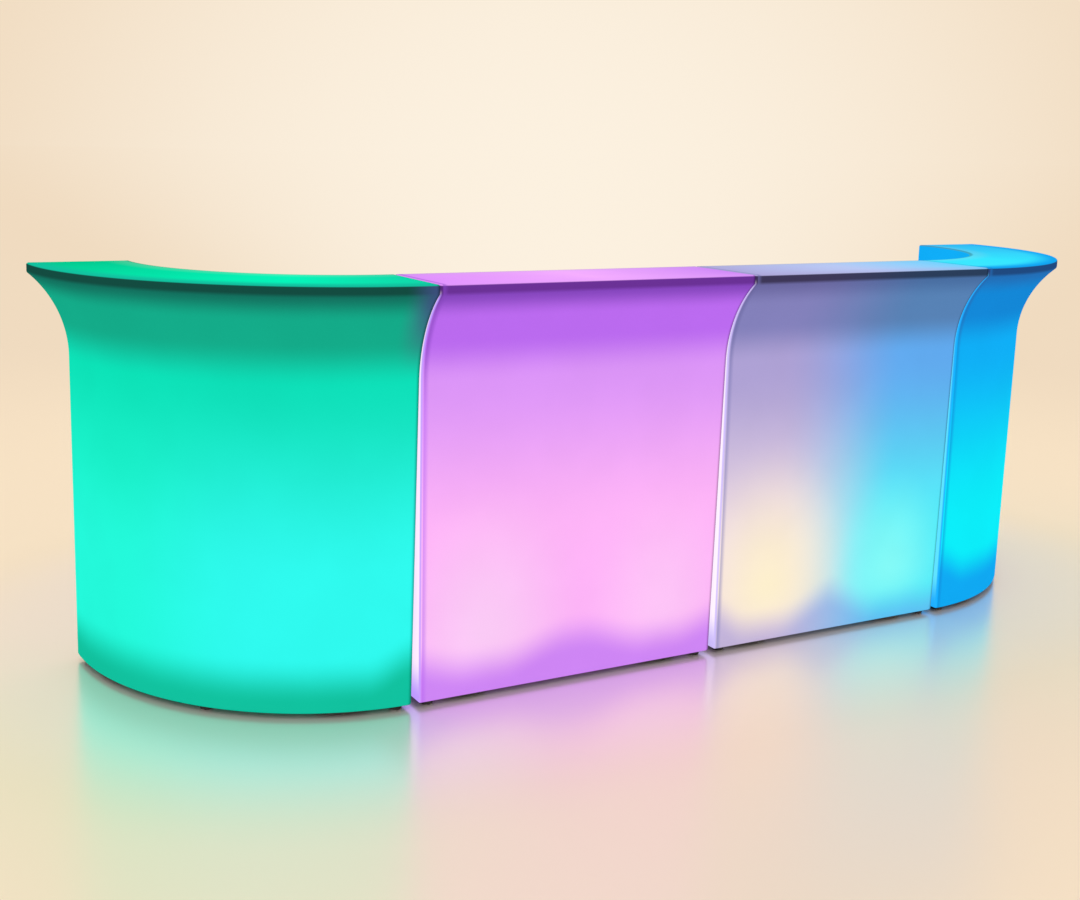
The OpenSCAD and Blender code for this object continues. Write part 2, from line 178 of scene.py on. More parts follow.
def softenEdges(piece, width, steps):
    bevel = piece.modifiers.new("softened edges", "BEVEL")
    bevel.limit_method = "ANGLE"
    bevel.angle_limit = math.radians(rounding["sharpest"])
    bevel.width = width
    bevel.segments = steps
    applyModifiers(piece)
    smoothen()


def cutAway(piece, cutter):
    deselectAll()
    if cutter.data.vertices:
        bore = piece.modifiers.new("bores", "BOOLEAN")
        bore.object = cutter
        bore.solver = "EXACT"
        applyModifiers(piece)
    makeActive(cutter)
    bpy.ops.object.delete()


# The shells' section, as (distance behind the nose line, height)

def arcPoints(centre, radius, start, stop, steps):
    turns = [math.radians(start + (stop - start) * i / steps) for i in range(steps + 1)]
    return [(centre[0] + radius * math.cos(t), centre[1] + radius * math.sin(t)) for t in turns]


def flareRadius():
    over = section["overhang"]
    rise = section["top"] - section["noseHeight"] - section["flareZ"]
    return (over ** 2 + rise ** 2) / (2 * over) - section["noseRound"]


def sectionOutline():
    top, foot, depth = section["top"], section["foot"], section["depth"]
    over, low = section["overhang"], section["flareZ"]
    nr, br = section["noseRound"], section["baseRound"]
    noseZ = top - section["noseHeight"]
    flareR = flareRadius()
    flareA = math.degrees(math.acos(1 - over / (flareR + nr)))
    steps = section["roundSteps"]
    return (arcPoints((depth - br, foot + br), br, 0, -90, steps)
            + arcPoints((over + br, foot + br), br, 270, 180, steps)
            + arcPoints((over - flareR, low), flareR, 0, flareA, section["flareSteps"])
            + arcPoints((nr, noseZ), nr, 180 + flareA, 180, steps)[1:]
            + arcPoints((nr, top - nr), nr, 180, 90, steps)
            + arcPoints((depth - nr, top - nr), nr, 90, 0, steps))


def traceLoop(piece, points):
    # a small plane merged to one point is drawn out from corner to corner and closed
    bpy.ops.mesh.primitive_plane_add(size=0.001, location=points[0])
    bpy.ops.mesh.merge(type="CENTER")
    for here, there in zip(points, points[1:]):
        extrude(Vector(there) - Vector(here))
    ends = [Vector(points[0]), Vector(points[-1])]
    pickVerts(piece, lambda co: any((co - end).length < near["merge"] for end in ends))
    bpy.ops.mesh.edge_face_add()
    bpy.ops.mesh.select_all(action="SELECT")


def cutLevels():
    # rings of edges where the recess's floor, shelf and ceiling come
    for z in (recess["floor"], recess["shelf"], recess["ceiling"]):
        cutThrough((0, 0, z), (0, 0, 1))
    pointOutwards()


def roundShell(piece):
    # only the sharp edges are rounded, not the steps of the curves
    mesh = bmesh.from_edit_mesh(piece.data)
    layer = mesh.edges.layers.float.new("bevel_weight_edge")
    for edge in mesh.edges:
        bend = math.degrees(edge.calc_face_angle())
        edge[layer] = 1 if bend > rounding["sharpest"] else 0
    bmesh.update_edit_mesh(piece.data)
    endPiece()
    bevel = piece.modifiers.new("rounding", "BEVEL")
    bevel.limit_method = "WEIGHT"
    bevel.width = rounding["width"]
    bevel.segments = rounding["steps"]
    bevel.use_clamp_overlap = False
    applyModifiers(piece)


def straightShell(unit):
    low, high = shellBox[unit]
    x0, x1, rear = low[0], high[0], high[1]
    side, step = recess["cheek"], recess["ledge"]
    lowerDepth = recess["depth"] - step
    spare = 0.01             # past the leaning ends, which cut it off
    piece = startPiece(unit + "_moulding")
    traceLoop(piece, [(x0 - spare, section["nose"] + d, z) for d, z in sectionOutline()])
    extrude((x1 - x0 + 2 * spare, 0, 0))
    top, draft = section["top"], section["draft"]
    rise = top - section["foot"]
    cutThrough((x0, 0, top), (-rise, 0, -draft), clearOuter=True)
    cutThrough((x1, 0, top), (rise, 0, -draft), clearOuter=True)
    for x in (x0 + side, x0 + side + step, x1 - side - step, x1 - side):
        cutThrough((x, 0, 0), (1, 0, 0))
    cutLevels()

    def inMouth(c, normal):
        if normal.y < near["facing"] or abs(c.y - rear) > near["plane"]:
            return False
        narrow = side + (step if c.z < recess["shelf"] else 0)
        return x0 + narrow < c.x < x1 - narrow and recess["floor"] < c.z < recess["ceiling"]

    def upperBack(c, normal):
        return (normal.y > near["facing"] and c.z > recess["shelf"]
                and abs(c.y - rear + lowerDepth) < near["plane"])

    pickFaces(piece, inMouth)
    extrude((0, -lowerDepth, 0))
    pickFaces(piece, upperBack)
    extrude((0, -step, 0))
    roundShell(piece)
    return piece


def endShell(unit):
    # the curve runs from the joint to the free end, and a turn is counted from the joint
    way = facing(unit)
    centre = Vector((way * halfLength, curveY, 0))
    side, step = recess["cheek"], recess["ledge"]
    lowerRadius = innerRadius + recess["depth"] - step
    upperRadius = innerRadius + recess["depth"]
    wide = math.degrees(math.asin(side / innerRadius))
    narrow = math.degrees(math.asin((side + step) / innerRadius))
    spare, plain = 1, 3      # the turn past each leaning end, and the first step before each
    turns = [-spare, plain, wide, narrow, 90 - narrow, 90 - wide, 90 - plain, 90 + spare]

    def onCurve(turn, radius, z):
        angle = math.radians(-90 + way * turn)
        return centre + Vector((radius * math.cos(angle), radius * math.sin(angle), z))

    def inward(co):
        # distances from the joint's plane, from the free end's plane and from the curve's axis
        local = co - centre
        return way * local.x, -local.y, math.hypot(local.x, local.y)

    piece = startPiece(unit + "_moulding")
    traceLoop(piece, [onCurve(turns[0], outerRadius - d, z) for d, z in sectionOutline()])
    for start, stop in zip(turns, turns[1:]):
        bpy.ops.mesh.spin(steps=section["curveSteps"] if start == narrow else 1, center=centre,
                          angle=math.radians(way * (start - stop)), axis=(0, 0, 1))
    top, draft = section["top"], section["draft"]
    rise = top - section["foot"]
    cutThrough(centre + Vector((0, 0, top)), (-way * rise, 0, -draft), clearOuter=True)
    cutThrough(centre + Vector((0, 0, top)), (0, rise, -draft), clearOuter=True)
    cutLevels()

    def facesAxis(c, normal):
        return (c - centre).xy.normalized().dot(normal.xy) < -near["facing"]

    def inMouth(c, normal):
        along, across, radius = inward(c)
        if abs(radius - innerRadius) > near["curve"] or not facesAxis(c, normal):
            return False
        turn = math.degrees(math.atan2(along, across))
        edge = narrow if c.z < recess["shelf"] else wide
        return edge < turn < 90 - edge and recess["floor"] < c.z < recess["ceiling"]

    def upperBack(c, normal):
        return (abs(inward(c)[2] - lowerRadius) < near["curve"] and c.z > recess["shelf"]
                and facesAxis(c, normal))

    def pushBack(fromRadius, toRadius):
        grow = toRadius / fromRadius
        extrude()
        bpy.ops.transform.resize(value=(grow, grow, 1), center_override=centre)

    def flattenSides(radius, low, turn, place):
        # the recess's sides run along radii: each is made parallel to the unit's end near it
        for axis, far in ((0, turn), (1, 90 - turn)):
            def onSide(co):
                along, across, r = inward(co)
                return (abs(r - radius) < near["curve"]
                        and low - near["plane"] < co.z < recess["ceiling"] + near["plane"]
                        and abs(math.degrees(math.atan2(along, across)) - far) < near["turn"])
            pickVerts(piece, onSide)
            keep = (0, 1, 1) if axis == 0 else (1, 0, 1)
            shift = Vector((way * place, 0, 0)) if axis == 0 else Vector((0, -place, 0))
            bpy.ops.transform.resize(value=keep, center_override=centre + shift)

    pickFaces(piece, inMouth)
    pushBack(innerRadius, lowerRadius)
    pickFaces(piece, upperBack)
    pushBack(lowerRadius, upperRadius)
    flattenSides(upperRadius, recess["shelf"], wide, side)
    flattenSides(lowerRadius, recess["shelf"], wide, side)
    flattenSides(lowerRadius, recess["floor"], narrow, side + step)
    roundShell(piece)
    return piece


# The sleeves that the clamp bolts run through, two at each end of a unit

sleeve = {
    "radius": 0.015,
    "bore": 0.0055,
    "stands": 0.002,         # how far it stands into the recess
    "heights": (0.430, 0.960),
    "back": 0.058,           # from the rear face
    "rounding": 0.0007,
    "steps": 2,
    "spare": 0.01,           # how far a cutter reaches past each end
}


def sleevePlaces(unit):
    # (start point, direction into the unit, length, whether no bolt ever runs through it)
    places = []
    for z in sleeve["heights"]:
        ledge = recess["ledge"] if z < recess["shelf"] else 0
        reach = recess["cheek"] + ledge + sleeve["stands"]
        if "end" in unit:
            way = facing(unit)
            far = innerRadius + sleeve["back"]
            joint = Vector((way * halfLength, curveY - far, z))
            free = Vector((way * (halfLength + far), curveY, z))
            places.append((joint, Vector((way, 0, 0)), reach, False))
            places.append((free, Vector((0, -1, 0)), reach, True))
        else:
            low, high = shellBox[unit]
            y = high[1] - sleeve["back"]
            places.append((Vector((low[0], y, z)), Vector((1, 0, 0)), reach, False))
            places.append((Vector((high[0], y, z)), Vector((-1, 0, 0)), reach, False))
    return places


def addRod(start, direction, length, radius, sides=48):
    turned = Vector((0, 0, 1)).rotation_difference(direction).to_euler()
    bpy.ops.mesh.primitive_cylinder_add(vertices=sides, radius=radius, depth=length,
                                        rotation=turned, location=start + direction * (length / 2))


def addSleeves(unit, shell):
    # an empty sleeve is open through the wall: the hole's edge lies inside the tube's own wall
    places = sleevePlaces(unit)
    cutter = startPiece(unit + "_cutter")
    spare = sleeve["spare"]
    for start, direction, length, empty in places:
        if empty:
            addRod(start - direction * spare, direction, length + 2 * spare,
                   (sleeve["radius"] + sleeve["bore"]) / 2)
    cutAway(shell, cutter)

    def ends(place):
        start, direction, length, empty = place
        return lambda c, normal: min((c - start).length,
                                     (c - start - direction * length).length) < near["plane"]

    tubes = startPiece(unit + "_sleeves")
    for start, direction, length, empty in places:
        addRod(start, direction, length, sleeve["radius"])
    pickFaces(tubes, lambda c, normal: any(ends(place)(c, normal) for place in places))
    bpy.ops.mesh.inset(thickness=sleeve["radius"] - sleeve["bore"])
    for place in places:
        pickFaces(tubes, ends(place))
        bpy.ops.mesh.bridge_edge_loops()
    endPiece()
    softenEdges(tubes, sleeve["rounding"], sleeve["steps"])
    makeActive(shell)
    tubes.select_set(True)
    bpy.ops.object.join()


# Materials: a class for a value inside a node tree, one for a tree and one for a material

def fromScreen(red, green, blue):
    def linear(v):
        v = v / 255
        return v / 12.92 if v <= 0.04045 else ((v + 0.055) / 1.055) ** 2.4
    return (linear(red), linear(green), linear(blue), 1)


def between(colours, place):
    # the colour at that share of the way through evenly spaced colours
    step = min(int(place * (len(colours) - 1)), len(colours) - 2)
    part = place * (len(colours) - 1) - step
    return tuple(a + (b - a) * part for a, b in zip(colours[step], colours[step + 1]))


class Wire:
    def __init__(self, nodes, socket):
        self.nodes = nodes
        self.socket = socket

    def __add__(self, other):
        return self.nodes.maths("ADD", self, other)

    def __radd__(self, other):
        return self.nodes.maths("ADD", other, self)

    def __sub__(self, other):
        return self.nodes.maths("SUBTRACT", self, other)

    def __rsub__(self, other):
        return self.nodes.maths("SUBTRACT", other, self)

    def __mul__(self, other):
        return self.nodes.maths("MULTIPLY", self, other)

    def __rmul__(self, other):
        return self.nodes.maths("MULTIPLY", other, self)

    def __truediv__(self, other):
        return self.nodes.maths("DIVIDE", self, other)

    def __rtruediv__(self, other):
        return self.nodes.maths("DIVIDE", other, self)

    def root(self):
        return self.nodes.maths("SQRT", self)

    def unsigned(self):
        return self.nodes.maths("ABSOLUTE", self)

    def least(self, other):
        return self.nodes.maths("MINIMUM", self, other)

    def most(self, other):
        return self.nodes.maths("MAXIMUM", self, other)

    def fade(self, start, stop, low=0.0, high=1.0):
        # low below start, high above stop, and a smooth step between
        return self.nodes.node("MapRange", {0: self, 1: start, 2: stop, 3: low, 4: high},
                               interpolation_type="SMOOTHSTEP")


class Nodes:
    def __init__(self, tree):
        self.tree = tree

    def plug(self, socket, value):
        if isinstance(value, Wire):
            self.tree.links.new(value.socket, socket)
        else:
            socket.default_value = value

    def node(self, kind, inputs=None, out=0, stops=None, **settings):
        # the settings come first, with a ramp's stops among them, and then the sockets
        node = self.tree.nodes.new("ShaderNode" + kind)
        for label, value in settings.items():
            setattr(node, label, value)
        if stops:
            elements = node.color_ramp.elements
            while len(elements) < len(stops):
                elements.new(1.0)
            for element, (place, colour) in zip(elements, stops):
                element.position = place
                element.color = colour
        for label, value in (inputs or {}).items():
            self.plug(node.inputs[label], value)
        return Wire(self, node.outputs[out])

    def maths(self, operation, *values):
        return self.node("Math", dict(enumerate(values)), operation=operation)

    def mix(self, factor, first, second):
        return self.node("Mix", {0: factor, 6: first, 7: second}, out=2, data_type="RGBA")

    def scaled(self, colour, amount):
        return self.node("VectorMath", {0: colour, "Scale": amount}, operation="SCALE")

    def ramp(self, factor, stops):
        return self.node("ValToRGB", {"Fac": factor}, out="Color", stops=stops)

    def steps(self, factor, colours):
        return self.ramp(factor, [(i / (len(colours) - 1), c) for i, c in enumerate(colours)])


class Finish(Nodes):
    def __init__(self, name, **constants):
        self.material = bpy.data.materials.new(name)
        self.material.use_nodes = True
        super().__init__(self.material.node_tree)
        self.shader = self.tree.nodes["Principled BSDF"]
        for label, value in constants.items():
            self.set(label.replace("_", " "), value)
        self.place = self.node("TexCoord", out="Object")
        axes = self.node("SeparateXYZ", {"Vector": self.place}).socket.node.outputs
        self.x, self.y, self.z = (Wire(self, axis) for axis in axes)

    def set(self, label, value):
        self.plug(self.shader.inputs[label], value)

    def noise(self, scale, detail=3.0, rough=0.5, stretch=None):
        place = self.place
        if stretch:
            place = self.node("Mapping", {"Vector": place, "Scale": stretch})
        sockets = {"Vector": place, "Scale": scale, "Detail": detail, "Roughness": rough}
        return self.node("TexNoise", sockets, out="Fac")

    def bump(self, height, distance, strength):
        sockets = {"Height": height, "Distance": distance, "Strength": strength}
        self.set("Normal", self.node("Bump", sockets))


noiseSpan = (0.3, 0.7)       # nearly all of a noise lies between these
patchSpan = (0.35, 0.65)     # for patches with a plainer edge

# The glow of each unit. Colours are screen levels. A share is how far along the unit a place
# is: from left to right on the straight units, from the joint to the free end on the others.
#   light     from the nose's shade to the brightest wall in five even steps
#   cool      the same at the right hand end, reached between the two shares in turn
#   tint      a colour laid over the bright wall, the shares where it comes in, its amount
#   lamps     share, colour, size and strength of each glow spot
#   base      the painted shade band along the foot, as a place in light
#   band      the band's height before a lamp and away from lamps, bandEnds what each end adds
#   climb     the heights between which the wall's light fades
#   spill     painted shade and the neighbour's painted reflection on the flare by the joint: colour, share it reaches, amount
#   rim       painted light on the left hand corner, and the painted highlight in the gap beside it
#   top       the counter top's colours by share
#   nearNose  its colour along the nose, as a place in light, and the amount

glow = {
    "left_end": {
        "light": [(20, 76, 66), (20, 114, 98), (20, 174, 142), (14, 225, 188), (48, 253, 244)],
        "tint": ((0, 246, 184), (0.35, 0.75), 0.4),
        "lamps": [],
        "base": 0.60,
        "band": (0.095, 0.095),
        "bandEnds": (0.05, 0.0),
        "climb": (0.33, 0.88),
        "spill": ((62, 80, 132), 0.07, 0.9),
        "rim": ((40, 190, 175), (40, 190, 175)),
        "top": [(0.0, (16, 215, 168)), (0.3, (5, 243, 184)), (1.0, (4, 200, 142))],
        "nearNose": (0.58, 1.0),
    },
    "left_straight": {
        "light": [(106, 50, 152), (134, 72, 195), (188, 109, 247), (219, 150, 252),
                  (254, 182, 252)],
        "lamps": [(0.21, (253, 206, 252), 0.32, 1.0), (0.80, (254, 199, 252), 0.28, 1.0)],
        "base": 0.66,
        "band": (0.082, 0.132),
        "bandEnds": (0.0, 0.0),
        "climb": (0.42, 0.88),
        "spill": ((60, 30, 90), 0.012, 0.5),
        "rim": ((186, 150, 254), (252, 230, 254)),
        "top": [(0.0, (220, 142, 251)), (0.5, (242, 172, 254)), (1.0, (206, 138, 246))],
        "nearNose": (0.80, 0.3),
    },
    "right_straight": {
        "light": [(62, 56, 90), (108, 107, 166), (132, 131, 192), (174, 163, 217),
                  (242, 224, 236)],
        "cool": [(42, 62, 92), (74, 112, 166), (88, 132, 186), (98, 172, 244), (86, 240, 254)],
        "turn": (0.22, 0.77),
        "lamps": [(0.22, (255, 243, 208), 0.34, 0.95), (0.76, (134, 254, 252), 0.25, 0.95)],
        "base": 0.82,
        "band": (0.055, 0.130),
        "bandEnds": (0.02, -0.05),
        "climb": (0.24, 0.84),
        "spill": ((60, 40, 90), 0.012, 0.5),
        "rim": ((196, 182, 240), (250, 240, 252)),
        "top": [(0.0, (172, 168, 218)), (0.5, (184, 200, 244)), (1.0, (110, 208, 252))],
        "nearNose": (0.75, 0.3),
    },
    "right_end": {
        "light": [(32, 74, 130), (36, 112, 188), (20, 138, 222), (16, 176, 251),
                  (12, 240, 254)],
        "lamps": [],
        "base": 0.72,
        "band": (0.125, 0.125),
        "bandEnds": (0.05, 0.0),
        "climb": (0.28, 0.86),
        "spill": ((60, 60, 110), 0.012, 0.5),
        "rim": ((30, 168, 250), (96, 222, 254)),
        "top": [(0.0, (60, 228, 252)), (0.3, (52, 228, 254)), (1.0, (52, 184, 242))],
        "nearNose": (0.66, 1.0),
    },
}

# Places on the skin are heights or distances behind the nose line unless a note says more
skin = {
    "roughness": 0.42,
    "reflecting": 0.28,      # the part of each colour that reflects, and the part given off
    "glowing": 0.75,
    "grain": 420,            # per metre
    "grainDepth": 0.0004,
    "clouds": 5.0,           # per metre
    "cloudy": 0.015,
    "patches": 60.0,         # per metre
    "smoother": 0.04,
    "rougher": 0.05,
    "bumps": 0.5,
    "tinted": (0.65, 0.90),  # brightness that the tint needs
    "spilled": (0.85, 1.06),
}
wallShade = {
    "climbed": 0.75,         # brightness where the climb ends
    "turns": [(0.84, 0.955), (1.008, 1.078)],    # the flare turns from the light in steps
    "noseTurn": (-0.008, 0.004),                 # the last step, about the nose's underside
    "eachTurn": 0.25,
    "front": (0.110, 0.125),                     # where the front's own shades end
    "inside": (0.15, 0.265),                     # from the recess's back to the rear face
    "insideShade": 0.80,
    "insideLess": 0.5,
}
lampGlow = {
    "height": 0.180,
    "flattened": (0.15, 0.30, 1.2, 0.75),        # flatter below the lamp, taller above it
}
# painted shade along the foot of each shell, below the lamps' light
footBand = {
    "besideLamp": (0.05, 0.26),                  # distance along the unit from a lamp
    "leftEnd": (0.0, 0.12),                      # shares
    "rightEnd": (0.84, 0.98),
    "soft": (-0.055, 0.07),                      # about the band's top
}
counterTop = {
    "starts": (-0.0042, -0.0014),                # about the top's height
    "noseShade": (0.0, 0.09),
    # a painted reflection along the rear edge, and painted shade where that edge rounds down
    "pale": (0.19, 0.265),
    "rearReflection": (176, 190, 190),
    "paleness": 0.15,
    "rearEdge": (0.255, 0.264),
    "rearShade": 0.6,
}
# painted highlight in the gap beside a left hand end, and painted shade along its corner
leftSeam = {                                     # distances from the leaning end
    "line": (0.0045, 0.007),
    "lineEnds": (0.008, 0.022),
    "lineAmount": 0.55,
    "darker": (0.75, 0.95),
    "corner": (0.003, 0.009),                    # behind the wall's face
    "cornerFoot": (0.02, 0.13),
    "gap": (0.0008, 0.0045),
    "gapAmount": 0.95,
    "gapTop": (1.06, 1.09),
}
rightSeam = {"reach": (0.0005, 0.012), "shade": 0.35}
underside = {"reach": (0.0005, 0.003), "shade": 0.12}


def shellPlace(f, unit):
    # share and length along the unit, depth behind the nose line, and the distances from the
    # left and right hand ends that lean in, or None for a free end
    low, high = shellBox[unit]
    rise = section["top"] - section["foot"]
    lean = (section["top"] - f.z) * (section["draft"] / rise)
    if "end" in unit:
        way = facing(unit)
        along = (f.x - way * halfLength) * way
        across = curveY - f.y
        share = f.maths("ARCTAN2", along, across) / (math.pi / 2)
        depth = outerRadius - (along * along + across * across).root()
        left, right = (along - lean, None) if way > 0 else (None, along - lean)
        return share, outerRadius * math.pi / 2, depth, left, right
    length = high[0] - low[0]
    left = f.x - low[0]
    return left / length, length, f.y - section["nose"], left - lean, high[0] - f.x - lean


def wallBrightness(z, depth, front, climbs):
    # 1 is the brightest wall. The light fades as the wall climbs, the flare turns away from it,
    # and the recess is darker towards its back
    noseZ = section["top"] - section["noseHeight"]
    climb = z.fade(*climbs, 1.0, wallShade["climbed"])
    turned = z.fade(*(noseZ + step for step in wallShade["noseTurn"]))
    for heights in wallShade["turns"]:
        turned = turned + z.fade(*heights)
    inside = depth.fade(*wallShade["inside"], 1.0, 0.0) * wallShade["insideShade"]
    return (climb - front * turned * wallShade["eachTurn"]
            - (1 - front) * inside * (climb - wallShade["insideLess"]))


def footShadePart(z, share, asides, scheme):
    # how much of the painted shade band along the foot is at a place: below the lamps the wall
    # gets less light
    beside, height = scheme["band"]
    if asides:
        nearest = asides[0].unsigned().least(asides[1].unsigned())
        height = nearest.fade(*footBand["besideLamp"], beside, height)
    leftAdds, rightAdds = scheme["bandEnds"]
    height = (share.fade(*footBand["leftEnd"], leftAdds, 0.0)
              + share.fade(*footBand["rightEnd"], 0.0, rightAdds) + height)
    return (z - height).fade(*footBand["soft"], 1.0, 0.0)


def topColour(f, share, depth, light, scheme):
    # the counter top's glow is darker towards the nose, with a painted pale reflection along its
    # rear edge and painted shade where that edge rounds down
    place, amount = scheme["nearNose"]
    stops = [(where, fromScreen(*colour)) for where, colour in scheme["top"]]
    colour = f.mix(depth.fade(*counterTop["noseShade"], amount, 0.0),
                   f.ramp(share, stops), between(light, place))
    colour = f.mix(depth.fade(*counterTop["pale"], 0.0, counterTop["paleness"]),
                   colour, fromScreen(*counterTop["rearReflection"]))
    return f.scaled(colour, depth.fade(*counterTop["rearEdge"], 1.0, counterTop["rearShade"]))


def leftSeamLightAndShade(f, colour, left, depth, light, scheme):
    # painted light and shade: the gap beside a left hand end has a painted highlight and glows in
    # full, with a painted shade line along the wall's corner
    z = f.z
    line = left.fade(*leftSeam["line"]) * left.fade(*leftSeam["lineEnds"], 1.0, 0.0)
    shade = f.mix(z.fade(*leftSeam["darker"]), light[2], light[1])
    colour = f.mix(line * leftSeam["lineAmount"], colour, shade)
    flareR = flareRadius()
    rise = (z - section["flareZ"]).most(0.0)
    wall = (flareR ** 2 - rise * rise).most(0.0).root() + (section["overhang"] - flareR)
    corner, gapLight = (fromScreen(*rim) for rim in scheme["rim"])
    behind = (depth - wall).fade(*leftSeam["corner"]) * z.fade(*leftSeam["cornerFoot"])
    inGap = (left.fade(*leftSeam["gap"], leftSeam["gapAmount"], 0.0)
             * z.fade(*leftSeam["gapTop"], 1.0, 0.0))
    glowing = inGap * (1 - skin["glowing"]) + skin["glowing"]
    return f.mix(inGap, colour, f.mix(behind, corner, gapLight)), glowing


def shellFinish(unit):
    scheme = glow[unit]
    light = [fromScreen(*colour) for colour in scheme["light"]]
    f = Finish(unit + " lit polyethylene", Roughness=skin["roughness"],
               Specular_IOR_Level=0.0, Emission_Strength=1.0)
    z = f.z
    share, length, depth, left, right = shellPlace(f, unit)
    front = depth.fade(*wallShade["front"], 1.0, 0.0)
    bright = wallBrightness(z, depth, front, scheme["climb"])
    colour = f.steps(bright, light)
    base = between(light, scheme["base"])
    if "cool" in scheme:
        cool = [fromScreen(*tone) for tone in scheme["cool"]]
        cooler = share.fade(*scheme["turn"])
        colour = f.mix(cooler, colour, f.steps(bright, cool))
        base = f.mix(cooler, base, between(cool, scheme["base"]))
    asides = []
    for place, tone, size, strength in scheme["lamps"]:
        aside = (share - place) * length
        above = (z - lampGlow["height"]) * z.fade(*lampGlow["flattened"])
        away = (aside * aside + above * above).root()
        colour = f.mix(away.fade(0.0, size, strength, 0.0) * front, colour, fromScreen(*tone))
        asides.append(aside)
    if "tint" in scheme:
        tone, shares, amount = scheme["tint"]
        part = share.fade(*shares, 0.0, amount) * bright.fade(*skin["tinted"])
        colour = f.mix(part, colour, fromScreen(*tone))
    # painted shade along the foot
    colour = f.mix(footShadePart(z, share, asides, scheme), colour, base)
    # painted shade by the joint, with the neighbour's painted reflection
    tone, reach, amount = scheme["spill"]
    part = share.fade(0.0, reach, amount, 0.0) * z.fade(*skin["spilled"]) * front
    colour = f.mix(part, colour, fromScreen(*tone))
    onTop = z.fade(*(section["top"] + step for step in counterTop["starts"]))
    colour = f.mix(onTop, colour, topColour(f, share, depth, light, scheme))
    glowing = skin["glowing"]
    if left is not None:
        colour, glowing = leftSeamLightAndShade(f, colour, left, depth, light, scheme)
    # painted shade: a dark line along a right hand end, in the gap between units
    if right is not None:        # a right hand end shows as a dark line
        colour = f.scaled(colour, right.fade(*rightSeam["reach"], rightSeam["shade"], 1.0))
    # painted shade on the shell's underside and lowest edge, where little light comes
    lowest = (section["foot"] + step for step in underside["reach"])
    colour = f.scaled(colour, z.fade(*lowest, underside["shade"], 1.0))

    cloudy, rough = skin["cloudy"], skin["roughness"]
    cloud = f.noise(skin["clouds"], 2.0).fade(*noiseSpan, 1 - cloudy, 1 + cloudy)
    colour = f.scaled(colour, cloud)
    f.set("Base Color", f.scaled(colour, skin["reflecting"]))
    f.set("Emission Color", f.scaled(colour, glowing))
    f.set("Roughness", f.noise(skin["patches"]).fade(*noiseSpan, rough - skin["smoother"],
                                                     rough + skin["rougher"]))
    f.bump(f.noise(skin["grain"], 2.0), skin["grainDepth"], skin["bumps"])
    return f.material


shells = {unit: endShell(unit) if "end" in unit else straightShell(unit) for unit in units}
for unit, piece in shells.items():
    addSleeves(unit, piece)
    piece.data.materials.clear()
    piece.data.materials.append(shellFinish(unit))
    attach(piece, "root")
    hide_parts(unit + "_shell")
    print(unit, "moulding:", len(piece.data.polygons), "faces")


# What the smaller pieces are made of. Colours are screen levels. Patches and grain are counted
# per metre, and depth is the grain's

surfaces = {
    "shelf_white": {
        "colour": (222, 222, 226), "worn": (206, 207, 213), "roughness": 0.38, "uneven": 0.07,
        "patch": 6, "grain": 900, "depth": 0.00012, "stretch": (0.25, 1.0, 1.0),
    },
    "rubber_black": {
        "colour": (34, 33, 36), "worn": (54, 52, 53), "roughness": 0.78, "uneven": 0.08,
        "patch": 70, "grain": 1500, "depth": 0.00020,
    },
    "plastic_black": {
        "colour": (26, 26, 29), "worn": (42, 42, 46), "roughness": 0.48, "uneven": 0.08,
        "patch": 40, "grain": 2600, "depth": 0.00010,
    },
    "battery_wrap": {
        "colour": (22, 62, 150), "worn": (40, 84, 176), "roughness": 0.24, "uneven": 0.08,
        "patch": 30, "grain": 160, "depth": 0.00030, "stretch": (1.0, 3.0, 3.0),
    },
    "board_white": {
        "colour": (236, 238, 240), "worn": (222, 226, 230), "roughness": 0.30, "uneven": 0.06,
        "patch": 50, "grain": 1200, "depth": 0.00004,
    },
    "diffuser": {
        "colour": (240, 244, 250), "worn": (228, 234, 244), "roughness": 0.50, "uneven": 0.06,
        "patch": 20, "grain": 1100, "depth": 0.00008,
    },
    "button_red": {
        "colour": (182, 18, 16), "worn": (150, 12, 12), "roughness": 0.26, "uneven": 0.08,
        "patch": 160, "grain": 1400, "depth": 0.00004,
    },
    "socket_metal": {
        "colour": (196, 197, 200), "worn": (172, 173, 178), "roughness": 0.22, "uneven": 0.08,
        "patch": 180, "grain": 1800, "depth": 0.00003, "metal": 1.0, "stretch": (8.0, 1.0, 1.0),
    },
    "steel_zinc": {
        "colour": (186, 188, 192), "worn": (166, 168, 158), "roughness": 0.34, "uneven": 0.10,
        "patch": 120, "grain": 1500, "depth": 0.00004, "metal": 1.0,
    },
    "wire_red": {
        "colour": (168, 20, 16), "worn": (140, 14, 12), "roughness": 0.44, "uneven": 0.06,
        "patch": 60, "grain": 900, "depth": 0.00008,
    },
}
dust = {"colour": (120, 114, 108), "height": 0.004, "amount": 0.55, "patch": 300,
        "span": (0.35, 0.60)}
diode = {"colour": (244, 214, 96), "above": 0.0017, "soft": 0.0006}
grainBumps = 0.7


